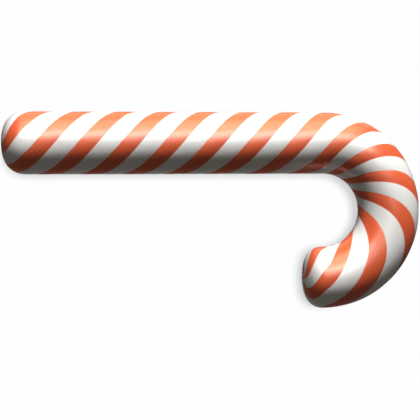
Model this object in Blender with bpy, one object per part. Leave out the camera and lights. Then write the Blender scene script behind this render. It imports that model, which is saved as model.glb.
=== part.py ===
"""Candy cane: one stick of pulled boiled sugar with its end bent into a hook, lying on its side.

Metres, +Z up. The straight stick runs along X and the hook turns towards -Y at the +X end. The cane
rests on the narrow flat that its own weight presses into the warm sugar along the whole underside.
The origin is under the middle of the bounding box, on the surface that the cane rests on.
"""

import math

import bmesh
import bpy
from mathutils import Matrix, Vector

# Driving sizes of the sweet
OVERALL_LENGTH = 0.150  # rounded foot to the outside of the hook
STICK_DIAMETER = 0.022
HOOK_RADIUS = 0.0242  # middle of the hook to the middle of the stick
FLAT_WIDTH = 0.0032  # the resting flat, across the stick

# Both ends are rounded off by rolling: how long each dome is, and how blunt.
# A bluntness of 2 is half an ellipse, and more is squarer.
FOOT_DOME_LENGTH = 0.0091
FOOT_BLUNTNESS = 2.35
TIP_DOME_LENGTH = 0.0073
TIP_BLUNTNESS = 2.6

# How finely the round surface is divided
SECTION_SIDES = 40
STICK_LENGTHS = 6
HOOK_STEPS = 36
DOME_STEPS = 8
FIRST_DOME_ANGLE = math.radians(12)  # inside the first ring a dome is closed by a shallow cone

SUGAR_COLOUR = (0.93, 0.90, 0.86, 1.0)
SUGAR_ROUGHNESS = 0.22

# Worked out from the sizes above, with the middle of the hook at X = Y = 0 and the middle of the
# stick's section at Z = 0 until the finished cane is moved to its own origin
STICK_RADIUS = STICK_DIAMETER / 2
FOOT_X = STICK_RADIUS + HOOK_RADIUS - OVERALL_LENGTH
FLAT_DEPTH = math.sqrt(STICK_RADIUS**2 - (FLAT_WIDTH / 2) ** 2)


def clear_scene():
    for old in list(bpy.data.objects):
        bpy.data.objects.remove(old, do_unlink=True)


def section_frame(middle, heading):
    """Stands a cross-section on its middle point, square to the heading and with one side level below."""
    out = heading.cross(Vector((0, 0, 1)))
    turn = Matrix((out, Vector((0, 0, 1)), heading)).transposed().to_4x4()
    return Matrix.Translation(middle) @ turn @ Matrix.Rotation(math.pi / SECTION_SIDES, 4, "Z")


def dome_rings(length, bluntness):
    """The rings of a rounded end as (distance from its very end, radius), from the end inwards."""
    power = 2 / bluntness
    rings = []
    for step in range(DOME_STEPS):
        share = step / DOME_STEPS
        angle = FIRST_DOME_ANGLE + (math.pi / 2 - FIRST_DOME_ANGLE) * share
        from_end = length * (1 - math.cos(angle) ** power)
        rings.append((from_end, STICK_RADIUS * math.sin(angle) ** power))
    return rings


def cane_sections():
    """Every cross-section as (frame, radius), from the foot along the stick and round to the tip."""
    onwards = Vector((1, 0, 0))
    back = Vector((-1, 0, 0))
    sections = []
    for from_end, radius in dome_rings(FOOT_DOME_LENGTH, FOOT_BLUNTNESS):
        middle = Vector((FOOT_X + from_end, HOOK_RADIUS, 0))
        sections.append((section_frame(middle, onwards), radius))
    straight_start = FOOT_X + FOOT_DOME_LENGTH
    for step in range(STICK_LENGTHS):
        middle = Vector((straight_start * (1 - step / STICK_LENGTHS), HOOK_RADIUS, 0))
        sections.append((section_frame(middle, onwards), STICK_RADIUS))
    for step in range(HOOK_STEPS + 1):
        turn = Matrix.Rotation(-math.pi * step / HOOK_STEPS, 3, "Z")
        middle = turn @ Vector((0, HOOK_RADIUS, 0))
        sections.append((section_frame(middle, turn @ onwards), STICK_RADIUS))
    for from_end, radius in reversed(dome_rings(TIP_DOME_LENGTH, TIP_BLUNTNESS)):
        middle = Vector((from_end - TIP_DOME_LENGTH, -HOOK_RADIUS, 0))
        sections.append((section_frame(middle, back), radius))
    return sections


def sweep(bm, sections):
    """Draws each cross-section as a ring and joins every ring to the next one."""
    rings = []
    for frame, radius in sections:
        # The flat sides lie on the true radius, so that the section measures its diameter across them
        corner_radius = radius / math.cos(math.pi / SECTION_SIDES)
        ring = bmesh.ops.create_circle(bm, segments=SECTION_SIDES, radius=corner_radius, matrix=frame)
        rings.append(list({edge for vert in ring["verts"] for edge in vert.link_edges}))
    for ring, following in zip(rings, rings[1:]):
        bmesh.ops.bridge_loops(bm, edges=ring + following)
    return rings[0], rings[-1]


def close_end(bm, ring, dome_length, bluntness):
    """Closes an open end with a shallow cone, whose point is the very end of the dome."""
    cap = bmesh.ops.contextual_create(bm, geom=ring)["faces"]
    bmesh.ops.recalc_face_normals(bm, faces=bm.faces)
    rise = dome_rings(dome_length, bluntness)[0][0]
    bmesh.ops.poke(bm, faces=cap, offset=rise)


def press_flat(bm):
    """Cuts the underside level, and closes the cut with one flat face along the whole cane."""
    everything = list(bm.verts) + list(bm.edges) + list(bm.faces)
    bmesh.ops.bisect_plane(
        bm, geom=everything, plane_co=(0, 0, -FLAT_DEPTH), plane_no=(0, 0, -1), clear_outer=True
    )
    cut = [edge for edge in bm.edges if edge.is_boundary]
    bmesh.ops.contextual_create(bm, geom=cut)
    bmesh.ops.recalc_face_normals(bm, faces=bm.faces)


def move_to_origin(bm):
    """Puts the origin under the middle of the box, on the resting surface."""
    low = [min(vert.co[axis] for vert in bm.verts) for axis in range(3)]
    high = [max(vert.co[axis] for vert in bm.verts) for axis in range(3)]
    base = Vector(((low[0] + high[0]) / 2, (low[1] + high[1]) / 2, low[2]))
    bmesh.ops.translate(bm, verts=bm.verts, vec=-base)


def boiled_sugar():
    material = bpy.data.materials.new("boiled_sugar")
    material.use_nodes = True
    surface = material.node_tree.nodes["Principled BSDF"]
    surface.inputs["Base Color"].default_value = SUGAR_COLOUR
    surface.inputs["Roughness"].default_value = SUGAR_ROUGHNESS
    surface.inputs["Metallic"].default_value = 0.0
    material.diffuse_color = SUGAR_COLOUR
    return material


def make_cane():
    bm = bmesh.new()
    foot_ring, tip_ring = sweep(bm, cane_sections())
    close_end(bm, foot_ring, FOOT_DOME_LENGTH, FOOT_BLUNTNESS)
    close_end(bm, tip_ring, TIP_DOME_LENGTH, TIP_BLUNTNESS)
    press_flat(bm)
    move_to_origin(bm)
    mesh = bpy.data.meshes.new("cane")
    bm.to_mesh(mesh)
    bm.free()
    mesh.shade_smooth()
    mesh.set_sharp_from_angle(angle=math.radians(30))
    mesh.materials.append(boiled_sugar())
    cane = bpy.data.objects.new("cane", mesh)
    bpy.context.scene.collection.objects.link(cane)
    return cane


clear_scene()
make_cane()
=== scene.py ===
import bpy
import math
from mathutils import Matrix, Vector


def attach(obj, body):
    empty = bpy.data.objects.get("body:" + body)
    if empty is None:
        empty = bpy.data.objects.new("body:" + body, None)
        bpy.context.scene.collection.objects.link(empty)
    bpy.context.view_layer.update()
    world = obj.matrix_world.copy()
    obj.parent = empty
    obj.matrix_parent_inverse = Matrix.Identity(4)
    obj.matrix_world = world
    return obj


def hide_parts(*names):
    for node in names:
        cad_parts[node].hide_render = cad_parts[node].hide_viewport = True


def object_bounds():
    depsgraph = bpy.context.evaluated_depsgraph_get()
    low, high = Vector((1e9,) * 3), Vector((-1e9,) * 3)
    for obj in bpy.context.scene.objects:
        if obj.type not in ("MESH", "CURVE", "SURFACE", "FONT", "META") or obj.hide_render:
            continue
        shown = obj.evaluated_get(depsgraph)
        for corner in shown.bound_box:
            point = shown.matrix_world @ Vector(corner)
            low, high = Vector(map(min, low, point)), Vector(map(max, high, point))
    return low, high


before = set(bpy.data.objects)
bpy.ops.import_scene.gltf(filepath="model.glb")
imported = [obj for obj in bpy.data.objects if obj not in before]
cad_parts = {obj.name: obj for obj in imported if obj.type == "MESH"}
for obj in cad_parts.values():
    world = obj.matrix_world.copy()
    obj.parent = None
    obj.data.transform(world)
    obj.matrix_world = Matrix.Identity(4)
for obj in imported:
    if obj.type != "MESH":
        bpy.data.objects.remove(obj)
cad_low, cad_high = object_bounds()

# --------------------------------------------------------------------------------------------------
# The stick of sugar. A thick rope of boiled sugar, pulled until it turns white and satiny, with four
# ribbons of coral red sugar laid along it. It is rolled and twisted while it is warm, so that the
# ribbons wind round it, then bent over into the hook, and both ends are rounded off in the fingers.
# --------------------------------------------------------------------------------------------------
STICK_RADIUS = 0.011
HOOK_RADIUS = (cad_high.y - cad_low.y) / 2 - STICK_RADIUS
HOOK_MIDDLE = Vector((cad_high.x - HOOK_RADIUS - STICK_RADIUS, (cad_low.y + cad_high.y) / 2, 0))
RIBBONS = 4
STEPS_ACROSS_A_BAND = 18
STEPS_ROUND = STEPS_ACROSS_A_BAND * 2 * RIBBONS
GATHERING = 0.6  # how strongly the steps gather at the edges of a band
SWELL_BLUNTNESS = 0.6  # below 1, a band swells more squarely than half a sine wave
SWELL_MIDDLE = 0.7  # about the swell's mean, which is taken off again so that the girth stays true
FOOT_RINGS = 36
STICK_RINGS = 440
TIP_RINGS = 36
RINGS = FOOT_RINGS + STICK_RINGS + TIP_RINGS
LUMP_SCALE = 60.0  # about one lump in 17 mm
MAP_MARGIN = 0.006  # bare strip round each half of the flat map
WELD = 1e-6  # closes the poles, where a whole ring of points meets

SUGAR_SIZES = {
    "Stick radius": STICK_RADIUS,
    "Hook radius": HOOK_RADIUS,
    "Straight length": HOOK_MIDDLE.x - cad_low.x,  # from the foot's very end to where the hook begins
    "Hook middle": HOOK_MIDDLE,
    "Axis height": cad_high.z - STICK_RADIUS,
    "Foot dome": 0.0091,
    "Foot bluntness": 2.35,
    "Tip dome": 0.0073,  # which is as far as the tip runs on past the middle of the hook
    "Tip bluntness": 2.6,
    "Ribbon pitch": 0.05925,  # one whole turn of a ribbon, along the stick
    "First turn": 0.2048,
    "Hook twist": 0.024,  # how much further round the sugar turns as the hook is bent
    "Twist shift": 0.175,  # how much of it the bend draws from its second half into its first
    "Red share": 0.47,
    "Red swell": 0.00010,  # how far the middle of a band stands above its edges
    "White swell": 0.00007,
    "Unevenness": 0.00009,
    "Edge of flat": 0.00004,
    "Seed": 7.0,
}


class Wire:
    """An output of a node, or a whole tree of them. Arithmetic on an output adds Math nodes."""

    def __init__(self, tree, socket=None):
        self.tree = tree
        self.socket = socket

    def node(self, kind, settings=None, sockets=None, output=0):
        """Adds a node: makes its settings first, then fills its sockets with wires or values."""
        made = self.tree.nodes.new(kind)
        for name, value in (settings or {}).items():
            if name == "captures":
                for captured in value:
                    made.capture_items.new("FLOAT", captured)
            else:
                setattr(made, name, value)
        for name, value in (sockets or {}).items():
            if isinstance(value, Wire):
                self.tree.links.new(value.socket, made.inputs[name])
            else:
                made.inputs[name].default_value = value
        return Wire(self.tree, made.outputs[output] if made.outputs else None)

    def out(self, name):
        """Another output of the node that this wire leaves."""
        return Wire(self.tree, self.socket.node.outputs[name])

    def math(self, operation, *values, clamp=False):
        """A Math node on these values, or on this wire alone."""
        settings = {"operation": operation, "use_clamp": clamp}
        return self.node("ShaderNodeMath", settings, dict(enumerate(values or (self,))))

    def vector(self, operation, *values):
        """A Vector Math node on these values."""
        return self.node("ShaderNodeVectorMath", {"operation": operation}, dict(enumerate(values)))

    def point(self, x, y, z):
        """A place, a size or a direction from its three numbers."""
        return self.node("ShaderNodeCombineXYZ", None, {"X": x, "Y": y, "Z": z})

    def __add__(self, other):
        return self.math("ADD", self, other)

    def __radd__(self, other):
        return self.math("ADD", other, self)

    def __sub__(self, other):
        return self.math("SUBTRACT", self, other)

    def __rsub__(self, other):
        return self.math("SUBTRACT", other, self)

    def __mul__(self, other):
        return self.math("MULTIPLY", self, other)

    def __rmul__(self, other):
        return self.math("MULTIPLY", other, self)

    def __truediv__(self, other):
        return self.math("DIVIDE", self, other)

    def __rtruediv__(self, other):
        return self.math("DIVIDE", other, self)

    def __pow__(self, other):
        return self.math("POWER", self, other)

    def __rpow__(self, other):
        return self.math("POWER", other, self)

    def sine(self):
        return self.math("SINE")

    def cosine(self):
        return self.math("COSINE")

    def root(self):
        return self.math("SQRT")

    def at_least(self, low):
        return self.math("MAXIMUM", self, low)

    def at_most(self, high):
        return self.math("MINIMUM", self, high)

    def above(self, level):
        """1 where the wire is over this level, and 0 elsewhere."""
        return self.math("GREATER_THAN", self, level)

    def share(self):
        """The wire itself, held between 0 and 1."""
        return self.math("ADD", self, 0.0, clamp=True)

    def rise(self, low, high, top=1.0):
        """Climbs smoothly from 0 to the top as the wire goes from low to high."""
        settings = {"interpolation_type": "SMOOTHSTEP"}
        sockets = {"Value": self, "From Min": low, "From Max": high, "To Max": top}
        return self.node("ShaderNodeMapRange", settings, sockets)

    def tint(self, low, high):
        """The colour low where the wire is 0, the colour high where it is 1, and a mix between."""
        settings = {"data_type": "RGBA", "clamp_factor": True}
        return self.node("ShaderNodeMix", settings, {0: self, 6: low, 7: high}, output=2)


def ribbon_section(recipe, size):
    """The stick's cross-section as a closed outline, with its points gathered where two bands meet.

    Returns the outline, and for each point its step round the outline, its angle before the twist
    and its distance from the nearest edge of a red band, positive on the red.
    """
    outline = recipe.node("GeometryNodeCurvePrimitiveCircle", None, {"Resolution": STEPS_ROUND})
    step = recipe.node("GeometryNodeInputIndex") * 1.0
    band = ((step + 0.5) / STEPS_ACROSS_A_BAND).math("FLOOR")
    even_way = step / STEPS_ACROSS_A_BAND - band
    way = even_way - (even_way * (2 * math.pi)).sine() * (GATHERING / (2 * math.pi))
    white = (band / 2).math("FRACT") * 2
    red = 1 - white
    width = red * size["Red share"] + white * (1 - size["Red share"])
    start = (band - white) / 2 + white * size["Red share"]
    one_ribbon = 2 * math.pi / RIBBONS
    angle = (start + way * width) * one_ribbon
    hump = (way * math.pi).sine().at_least(0.0) ** SWELL_BLUNTNESS
    swell = red * size["Red swell"] + white * size["White swell"]
    reach = size["Stick radius"] + swell * (hump - SWELL_MIDDLE)
    edge = way.at_most(1 - way) * width * (red * 2 - 1) * one_ribbon * size["Stick radius"]
    captured = recipe.node(
        "GeometryNodeCaptureAttribute",
        {"domain": "POINT", "captures": ("Step", "Angle", "Edge")},
        {"Geometry": outline, "Step": step, "Angle": angle, "Edge": edge},
    )
    place = recipe.point(angle.cosine() * reach, angle.sine() * reach, 0.0)
    outline = recipe.node("GeometryNodeSetPosition", None, {"Geometry": captured, "Position": place})
    return outline, captured.out("Step"), captured.out("Angle"), captured.out("Edge")


def hooked_path(recipe, size):
    """The middle line of the cane, from the foot round to the tip, as a curve twisted like the sugar.

    Returns the curve, and for each point its ring number, its share of the stick's full girth and
    how far along the skin of the sugar it lies.
    """
    line = recipe.node("GeometryNodeCurvePrimitiveLine", {"mode": "POINTS"})
    points = {"Curve": line, "Count": RINGS + 1}
    curve = recipe.node("GeometryNodeResampleCurve", {"mode": "COUNT"}, points)
    ring = recipe.node("GeometryNodeInputIndex") * 1.0

    # Each end is a dome: a quarter turn carries it from its very end to the stick's full girth
    quarter = math.pi / 2
    foot_share = (ring / FOOT_RINGS).share()
    middle_share = ((ring - FOOT_RINGS) / STICK_RINGS).share()
    tip_share = ((ring - FOOT_RINGS - STICK_RINGS) / TIP_RINGS).share()
    foot_power = 2 / size["Foot bluntness"]
    tip_power = 2 / size["Tip bluntness"]
    foot_girth = (foot_share * quarter).sine() ** foot_power
    tip_girth = (tip_share * quarter).cosine().at_least(0.0) ** tip_power
    into_foot = (1 - (foot_share * quarter).cosine().at_least(0.0) ** foot_power) * size["Foot dome"]
    into_tip = (tip_share * quarter).sine() ** tip_power * size["Tip dome"]

    # Along the middle line: straight, half round the hook, then a little straight on
    hook_run = size["Hook radius"] * math.pi
    path_length = size["Straight length"] + hook_run
    along = into_foot + middle_share * (path_length - size["Foot dome"]) + into_tip
    bend = ((along - size["Straight length"]) / size["Hook radius"]).at_least(0.0).at_most(math.pi)
    overhang = (along - path_length).at_least(0.0)
    before_hook = (along - size["Straight length"]).at_most(0.0)
    from_middle = before_hook + bend.sine() * size["Hook radius"] - overhang
    place = recipe.point(from_middle, bend.cosine() * size["Hook radius"], size["Axis height"])
    place = recipe.vector("ADD", place, size["Hook middle"])

    # The twist is even along the skin, over the domes too, but the bend gathers it in its first half
    arc = quarter / math.sqrt(2)
    foot_skin = (size["Foot dome"] ** 2 + size["Stick radius"] ** 2).root() * arc
    tip_skin = (size["Tip dome"] ** 2 + size["Stick radius"] ** 2).root() * arc
    skin = (foot_share - 1) * foot_skin + middle_share * (path_length - size["Foot dome"])
    skin = skin + tip_share * tip_skin
    turns = skin / size["Ribbon pitch"] + size["First turn"] + bend / math.pi * size["Hook twist"]
    turns = turns + bend.sine() ** 2 * size["Twist shift"]
    twist = turns * (-2 * math.pi)

    girth = foot_girth * tip_girth
    captured = recipe.node(
        "GeometryNodeCaptureAttribute",
        {"domain": "POINT", "captures": ("Ring", "Girth", "Skin", "Twist")},
        {"Geometry": curve, "Ring": ring, "Girth": girth, "Skin": skin, "Twist": twist},
    )
    curve = recipe.node("GeometryNodeSetPosition", None, {"Geometry": captured, "Position": place})
    tilt = {"Curve": curve, "Tilt": captured.out("Twist")}
    curve = recipe.node("GeometryNodeSetCurveTilt", None, tilt)
    return curve, captured.out("Ring"), captured.out("Girth"), captured.out("Skin")


def sugar_tree(material):
    """The whole stick as geometry nodes: its section swept along its path, then laid down."""
    tree = bpy.data.node_groups.new("pulled sugar stick", "GeometryNodeTree")
    tree.interface.new_socket("Stick", in_out="OUTPUT", socket_type="NodeSocketGeometry")
    for name, value in SUGAR_SIZES.items():
        kind = "NodeSocketVector" if isinstance(value, Vector) else "NodeSocketFloat"
        tree.interface.new_socket(name, in_out="INPUT", socket_type=kind)
    recipe = Wire(tree)
    given = recipe.node("NodeGroupInput")
    size = {name: given.out(name) for name in SUGAR_SIZES}

    outline, step, angle, edge = ribbon_section(recipe, size)
    curve, ring, girth, skin = hooked_path(recipe, size)
    swept = {"Curve": curve, "Profile Curve": outline, "Scale": girth}
    stick = recipe.node("GeometryNodeCurveToMesh", None, swept)

    # The flat map that the finish is drawn on: the stick's skin, cut once along it and once across it.
    # The face that closes a ring ends at step 0, which counts there as one past the last step. Only
    # on that face is the mean step far from the step of its corner.
    far = 2.0
    on_faces = {"data_type": "FLOAT", "domain": "FACE"}
    face_step = recipe.node("GeometryNodeFieldOnDomain", on_faces, {0: step})
    face_ring = recipe.node("GeometryNodeFieldOnDomain", on_faces, {0: ring})
    closing = (face_step - step).above(far)
    round_share = (step + closing * STEPS_ROUND) / STEPS_ROUND
    second_half = face_ring.above(RINGS / 2)
    along_share = ring / (RINGS / 2) - second_half
    map_x = along_share * (1 - 2 * MAP_MARGIN) + MAP_MARGIN
    map_y = (round_share * (1 - 2 * MAP_MARGIN) + MAP_MARGIN + second_half) / 2
    stick = recipe.node(
        "GeometryNodeStoreNamedAttribute",
        {"data_type": "FLOAT2", "domain": "CORNER"},
        {"Geometry": stick, "Name": "OFBake", "Value": recipe.point(map_x, map_y, 0.0)},
    )
    radius = size["Stick radius"]
    untwisted = recipe.point(angle.cosine() * radius, angle.sine() * radius, skin)
    stick = recipe.node(
        "GeometryNodeStoreNamedAttribute",
        {"data_type": "FLOAT_VECTOR", "domain": "POINT"},
        {"Geometry": stick, "Name": "untwisted", "Value": untwisted},
    )
    stick = recipe.node(
        "GeometryNodeStoreNamedAttribute",
        {"data_type": "FLOAT", "domain": "POINT"},
        {"Geometry": stick, "Name": "ribbon_edge", "Value": edge * girth},
    )
    stick = recipe.node("GeometryNodeMergeByDistance", None, {"Geometry": stick, "Distance": WELD})

    # Rolled by hand, it is never quite even, and its own weight presses it flat where it lies
    place = recipe.node("GeometryNodeInputPosition")
    normal = recipe.node("GeometryNodeInputNormal")
    lumps = recipe.node(
        "ShaderNodeTexNoise",
        {"noise_dimensions": "4D"},
        {"Vector": place, "W": size["Seed"], "Scale": LUMP_SCALE, "Detail": 2.0},
    )
    lift = (lumps - 0.5) * 2 * size["Unevenness"]
    shift = recipe.vector("MULTIPLY", normal, recipe.point(lift, lift, lift))
    stick = recipe.node("GeometryNodeSetPosition", None, {"Geometry": stick, "Offset": shift})
    parts = recipe.node("ShaderNodeSeparateXYZ", None, {"Vector": place})
    level = recipe.math("SMOOTH_MAX", parts.out("Z"), 0.0, size["Edge of flat"])
    rested = recipe.point(parts.out("X"), parts.out("Y"), level)
    stick = recipe.node("GeometryNodeSetPosition", None, {"Geometry": stick, "Position": rested})
    stick = recipe.node("GeometryNodeSetShadeSmooth", None, {"Geometry": stick, "Shade Smooth": True})
    stick = recipe.node("GeometryNodeRealizeInstances", None, {"Geometry": stick})
    stick = recipe.node("GeometryNodeSetMaterial", None, {"Geometry": stick, "Material": material})
    recipe.node("NodeGroupOutput", None, {"Stick": stick})
    return tree


# Its finish, with lengths in metres. Each noise is finer the higher its scale.
WHITE_DULL = (0.80, 0.785, 0.76, 1.0)
WHITE_BRIGHT = (0.90, 0.89, 0.87, 1.0)
RED_DULL = (0.72, 0.095, 0.032, 1.0)
RED_BRIGHT = (0.86, 0.150, 0.052, 1.0)
STREAK_SQUEEZE = 0.06  # a length along the stick counts for this much, which draws the streaks out
STREAK_SCALE = 900.0
CLOUD_SCALE = 160.0
BLEED_SCALE = 500.0
PIT_SCALE = 1400.0
STREAK_TONE = 0.5  # how much the streaks and the broader clouds brighten or dull the sugar
CLOUD_TONE = 0.9
BLEED = 0.00022  # how far the edge of a ribbon wanders
EDGE_SOFTNESS = 0.00010  # to each side of that edge
BLUSH_REACH = 0.0009  # how far out into the white the red stains it
BLUSH_OVERLAP = 0.0002
BLUSH = 0.16
ROUGHNESS = 0.33
STREAK_ROUGHNESS = 0.16
RUBBED_ROUGHNESS = 0.30  # more, where it rests
RUBBED_BELOW = 0.00005  # heights between which it goes from rubbed to clean
CLEAN_ABOVE = 0.00025
STREAK_RELIEF = 0.8
PIT_RELIEF = 0.35
RELIEF = {"Strength": 0.5, "Distance": 0.00004}
SUGAR_BODY = {
    "Subsurface Weight": 0.12,
    "Subsurface Radius": (1.0, 0.6, 0.45),
    "Subsurface Scale": 0.0012,
    "IOR": 1.5,
    "Coat Weight": 0.4,
    "Coat Roughness": 0.25,
}


def boiled_sugar():
    """Pulled white sugar with red ribbons: glossy, a little see-through, streaked along the twist."""
    material = bpy.data.materials.new("striped_boiled_sugar")
    material.use_nodes = True
    tree = material.node_tree
    surface = tree.nodes["Principled BSDF"]
    recipe = Wire(tree)

    def noise(place, scale, detail=2.0):
        return recipe.node("ShaderNodeTexNoise", None, {"Vector": place, "Scale": scale, "Detail": detail})

    untwisted = recipe.node("ShaderNodeAttribute", {"attribute_name": "untwisted"}, output="Vector")
    edge = recipe.node("ShaderNodeAttribute", {"attribute_name": "ribbon_edge"}, output="Fac")
    drawn_out = recipe.vector("MULTIPLY", untwisted, (1.0, 1.0, STREAK_SQUEEZE))
    streaks = noise(drawn_out, STREAK_SCALE, detail=3.0)
    clouds = noise(drawn_out, CLOUD_SCALE)

    # Across its uneven edge the red turns to white, and it stains the white beside it
    wander = edge + (noise(untwisted, BLEED_SCALE) - 0.5) * BLEED
    red = wander.rise(-EDGE_SOFTNESS, EDGE_SOFTNESS)
    blush = wander.rise(-BLUSH_REACH, BLUSH_OVERLAP, BLUSH)
    tone = (streaks - 0.5) * STREAK_TONE + (clouds - 0.5) * CLOUD_TONE + 0.5
    white_sugar = tone.tint(WHITE_DULL, WHITE_BRIGHT)
    red_sugar = tone.tint(RED_DULL, RED_BRIGHT)
    colour = red.tint(blush.tint(white_sugar, red_sugar), red_sugar)

    place = recipe.node("ShaderNodeTexCoord", output="Object")
    height = recipe.node("ShaderNodeSeparateXYZ", None, {"Vector": place}).out("Z")
    rubbed = height.rise(CLEAN_ABOVE, RUBBED_BELOW)
    roughness = ROUGHNESS + (streaks - 0.5) * STREAK_ROUGHNESS + rubbed * RUBBED_ROUGHNESS
    relief = streaks * STREAK_RELIEF + noise(place, PIT_SCALE) * PIT_RELIEF
    normal = recipe.node("ShaderNodeBump", None, {"Height": relief, **RELIEF})

    for name, wire in (("Base Color", colour), ("Roughness", roughness), ("Normal", normal)):
        tree.links.new(wire.socket, surface.inputs[name])
    for name, value in SUGAR_BODY.items():
        surface.inputs[name].default_value = value
    return material


def make_stick():
    """Works the stick out from its nodes and its sizes, and keeps it as a plain mesh."""
    bench = bpy.data.objects.new("bench", bpy.data.meshes.new("bench"))
    bpy.context.scene.collection.objects.link(bench)
    tree = sugar_tree(boiled_sugar())
    nodes = bench.modifiers.new("pulled sugar stick", "NODES")
    nodes.node_group = tree
    for name, value in SUGAR_SIZES.items():
        nodes[tree.interface.items_tree[name].identifier] = value
    graph = bpy.context.evaluated_depsgraph_get()
    mesh = bpy.data.meshes.new_from_object(bench.evaluated_get(graph), depsgraph=graph)
    bench.modifiers.remove(nodes)
    bpy.data.objects.remove(bench)
    mesh.name = "sugar_stick"
    stick = bpy.data.objects.new("sugar_stick", mesh)
    bpy.context.scene.collection.objects.link(stick)
    return stick


stick = make_stick()
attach(stick, "root")
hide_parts("cane")

# --------------------------------------------------------------------------------------------------
# The table that the cane lies on: a plain matt white sheet, wide enough to fill every view. Two broad
# lamps overhead light it and not the cane. One throws the cane's soft shadow, and the other throws
# none, so that the shadow stays faint.
# --------------------------------------------------------------------------------------------------
TABLE_SIDE = 16.0
TABLE_DROP = 0.00002  # a hair under the sugar
TABLE_COLOUR = (0.86, 0.86, 0.86, 1.0)
TABLE_ROUGHNESS = 0.8
SHADOWED_STRENGTH = 1.35
EVEN_STRENGTH = 2.07
LAMP_BREADTH = math.radians(20)
LAMP_COLOUR = (0.98, 0.99, 1.0)
LAMP_DIRECTION = Vector((0.02, 0.06, 1.0))


def make_table():
    side = TABLE_SIDE / 2
    corners = [(-side, -side), (side, -side), (side, side), (-side, side)]
    mesh = bpy.data.meshes.new("table")
    mesh.from_pydata([(x, y, -TABLE_DROP) for x, y in corners], [], [(0, 1, 2, 3)])
    table = bpy.data.objects.new("table", mesh)
    bpy.context.scene.collection.objects.link(table)
    material = bpy.data.materials.new("pale_table")
    material.use_nodes = True
    surface = material.node_tree.nodes["Principled BSDF"]
    surface.inputs["Base Color"].default_value = TABLE_COLOUR
    surface.inputs["Roughness"].default_value = TABLE_ROUGHNESS
    surface.inputs["Specular IOR Level"].default_value = 0.0
    mesh.materials.append(material)
    # It throws no light back up, so that the cane's lower side stays in shade
    table.visible_diffuse = False
    table.visible_glossy = False
    return table


def falls_only_on(lamp, thing):
    """Makes a lamp light this object alone, and returns the group that holds it."""
    group = bpy.data.collections.new(lamp.name + " falls on")
    group.objects.link(thing)
    lamp.light_linking.receiver_collection = group
    return group


def table_lamp(name, strength, shadowed):
    """A broad lamp far overhead, whose light reaches the table alone."""
    light = bpy.data.lights.new(name, "SUN")
    light.energy = strength
    light.angle = LAMP_BREADTH
    light.color = LAMP_COLOUR
    light.use_shadow = shadowed
    lamp = bpy.data.objects.new(name, light)
    lamp.rotation_euler = LAMP_DIRECTION.to_track_quat("Z", "Y").to_euler()
    bpy.context.scene.collection.objects.link(lamp)
    falls_only_on(lamp, table)


table = make_table()
stick.visible_diffuse = False  # so that the cane throws no red on the table
table_lamp("table light", SHADOWED_STRENGTH, True)
table_lamp("table wash", EVEN_STRENGTH, False)

# --------------------------------------------------------------------------------------------------
# The light on the cane, mostly from beyond the stick and a little towards the hook. A low key and a
# weak bounce from below model its roundness. Warm sheens, a highlight strip and a small crown above
# show in its gloss alone, and the pale room all round throws a faint warm fill.
# --------------------------------------------------------------------------------------------------
LIGHT_SWING = math.radians(7)  # from straight across the stick towards the hook
BELOW_AND_IN_FRONT = (0.0, -0.45, -0.89)
NEARLY_OVERHEAD = (0.13, 0.2, 1.0)
CLEAR = (1.0, 1.0, 1.0)
CREAM = (1.0, 0.93, 0.80)
AMBER = (1.0, 0.78, 0.48)
ROOM_COLOUR = (1.0, 0.92, 0.83, 1.0)
ROOM_LIGHT = 0.085
WALL_COLOUR = (1.0, 1.0, 1.0, 1.0)
WALL_LIGHT = 1.0


def towards(elevation):
    """The direction of a light that stands at this elevation beyond the stick."""
    level = math.cos(math.radians(elevation))
    up = math.sin(math.radians(elevation))
    return math.sin(LIGHT_SWING) * level, math.cos(LIGHT_SWING) * level, up


def soft_box(name, direction, watts, size, distance=1.0, colour=CLEAR, gloss=False):
    """A rectangular soft box that looks at the cane from this direction, its first side level.

    It either shades the cane or shows in its gloss, and falls on the cane alone, with nothing else
    in its way.
    """
    light = bpy.data.lights.new(name, "AREA")
    light.shape = "RECTANGLE"
    light.size, light.size_y = size
    light.energy = watts
    light.color = colour
    box = bpy.data.objects.new(name, light)
    box.location = (cad_low + cad_high) / 2 + Vector(direction).normalized() * distance
    box.rotation_euler = Vector(direction).to_track_quat("Z", "Y").to_euler()
    box.visible_camera = False
    box.visible_diffuse = not gloss
    box.visible_glossy = gloss
    bpy.context.scene.collection.objects.link(box)
    box.light_linking.blocker_collection = falls_only_on(box, stick)


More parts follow.
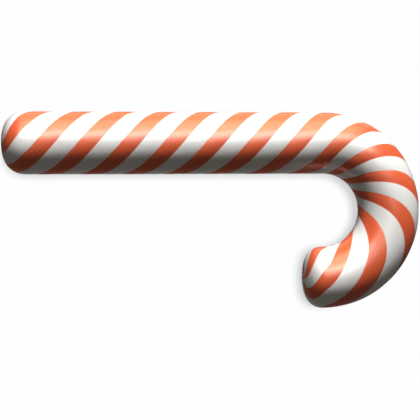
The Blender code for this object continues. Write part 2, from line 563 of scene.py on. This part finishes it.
def pale_room():
    """A room that looks white, but throws only a little warm light on the cane."""
    room = bpy.data.worlds.new("pale_room")
    room.use_nodes = True
    recipe = Wire(room.node_tree)
    warmth = {"Color": ROOM_COLOUR, "Strength": ROOM_LIGHT}
    fill = recipe.node("ShaderNodeBackground", None, warmth)
    walls = recipe.node("ShaderNodeBackground", None, {"Color": WALL_COLOUR, "Strength": WALL_LIGHT})
    seen = recipe.node("ShaderNodeLightPath", output="Is Camera Ray")
    both = recipe.node("ShaderNodeMixShader", None, {0: seen, 1: fill, 2: walls})
    output = room.node_tree.nodes["World Output"]
    room.node_tree.links.new(both.socket, output.inputs["Surface"])
    return room


soft_box("key", towards(27.5), watts=19.5, size=(0.5, 0.30), distance=1.05)
soft_box("sheen", towards(27), watts=21.0, size=(1.3, 0.95), colour=AMBER, gloss=True)
soft_box("low sheen", towards(-25), watts=5.4, size=(1.2, 1.0), colour=AMBER, gloss=True)
soft_box("highlight strip", towards(58), watts=15.2, size=(1.0, 0.40), colour=CREAM, gloss=True)
soft_box("bounce", BELOW_AND_IN_FRONT, watts=3.2, size=(0.6, 0.5))
soft_box("crown", NEARLY_OVERHEAD, watts=0.9, size=(0.3, 0.3), gloss=True)
bpy.context.scene.world = pale_room()
bpy.context.scene.view_settings.view_transform = "Standard"

# --------------------------------------------------------------------------------------------------
# The camera looks almost straight down on the lying cane, leaning a little towards its foot, and
# stands far enough away that the perspective stays slight.
# --------------------------------------------------------------------------------------------------
SENSOR_WIDTH = 36.0
FIELD_OF_VIEW = math.radians(18)
CAMERA_DISTANCE = 0.4734
CAMERA_LEAN = math.radians(-7.80)
CAMERA_PITCH = math.radians(-0.28)
CAMERA_ROLL = math.radians(-0.32)
BACK_FROM_HOOK = 0.0412  # from the middle of the hook to the point that the camera looks at
ASIDE_FROM_HOOK = 0.0003


def make_camera():
    aim = Vector((-BACK_FROM_HOOK, ASIDE_FROM_HOOK, SUGAR_SIZES["Axis height"]))
    turn = Matrix.Rotation(CAMERA_LEAN, 4, "Y") @ Matrix.Rotation(CAMERA_PITCH, 4, "X")
    turn = turn @ Matrix.Rotation(CAMERA_ROLL, 4, "Z")
    lens = bpy.data.cameras.new("camera")
    lens.sensor_width = SENSOR_WIDTH
    lens.angle = FIELD_OF_VIEW
    camera = bpy.data.objects.new("camera", lens)
    bpy.context.scene.collection.objects.link(camera)
    back = Matrix.Translation((0, 0, CAMERA_DISTANCE))
    camera.matrix_world = Matrix.Translation(HOOK_MIDDLE + aim) @ turn @ back
    return camera


bpy.context.scene.camera = make_camera()
